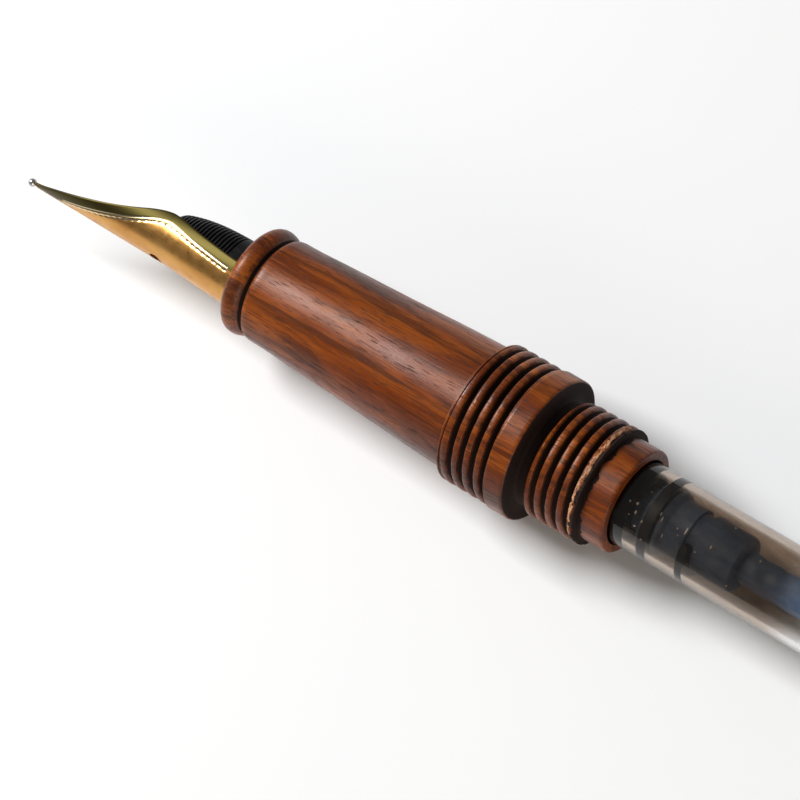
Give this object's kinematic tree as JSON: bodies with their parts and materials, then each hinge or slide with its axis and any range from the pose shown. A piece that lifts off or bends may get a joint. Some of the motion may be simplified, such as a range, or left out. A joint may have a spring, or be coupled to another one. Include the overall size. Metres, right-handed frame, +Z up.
{
  "type": "fountain pen front section",
  "caption": "Turned wooden fountain pen front: gold nib with finned feed, threaded grip section and clear piston converter with a turning knob.",
  "frame": {"origin": "on the floor under the middle of the length, on the pen's axis seen from above", "axes": "+X runs back along the pen from the nib to the converter's knob, the nib's spine faces -Y and its feed +Y, +Z is up"},
  "size_m": [0.1126, 0.0128, 0.0127],
  "materials": {
    "turned_wood": "oiled and polished, satin",
    "black_plastic": "moulded, satin gloss",
    "gold": "steel, gold plated, satin",
    "tipping_metal": "ground and polished",
    "clear_plastic": "clear, polished",
    "seal_rubber": "smooth",
    "grey_plastic": "moulded, matte",
    "chrome": "polished"
  },
  "bodies": {
    "section": {"grip_section": "turned_wood", "nib_housing": "black_plastic"},
    "nib_unit": {"nib": "gold", "nib_tipping": "tipping_metal", "feed": "black_plastic"},
    "converter": {"converter_tube": "clear_plastic", "ferrule": "chrome", "rod_guide": "black_plastic"},
    "plunger": {"plunger_core": "grey_plastic", "front_seal": "seal_rubber", "rear_seal": "seal_rubber", "piston_rod": "grey_plastic"},
    "turning_knob": {"drive_spindle": "grey_plastic", "knob": "black_plastic"}
  },
  "joints": [
    {"name": "nib_unit_pull", "type": "slide", "parent": "section", "child": "nib_unit", "axis": [-1, 0, 0], "range_m": [0, 0.022]},
    {"name": "converter_pull", "type": "slide", "parent": "section", "child": "converter", "axis": [1, 0, 0], "range_m": [0, 0.025]},
    {"name": "knob_turn", "type": "hinge", "parent": "converter", "child": "turning_knob", "pos_m": [0.03714, 0, 0.00635], "axis": [1, 0, 0], "range_deg": [-677, 1649]},
    {"name": "plunger_travel", "type": "slide", "parent": "converter", "child": "plunger", "axis": [1, 0, 0], "range_m": [-0.0183, 0.0075]}
  ],
  "couplings": [
    {"joint": "knob_turn", "follows": "plunger_travel", "rad_per_m": -1570.8}
  ]
}
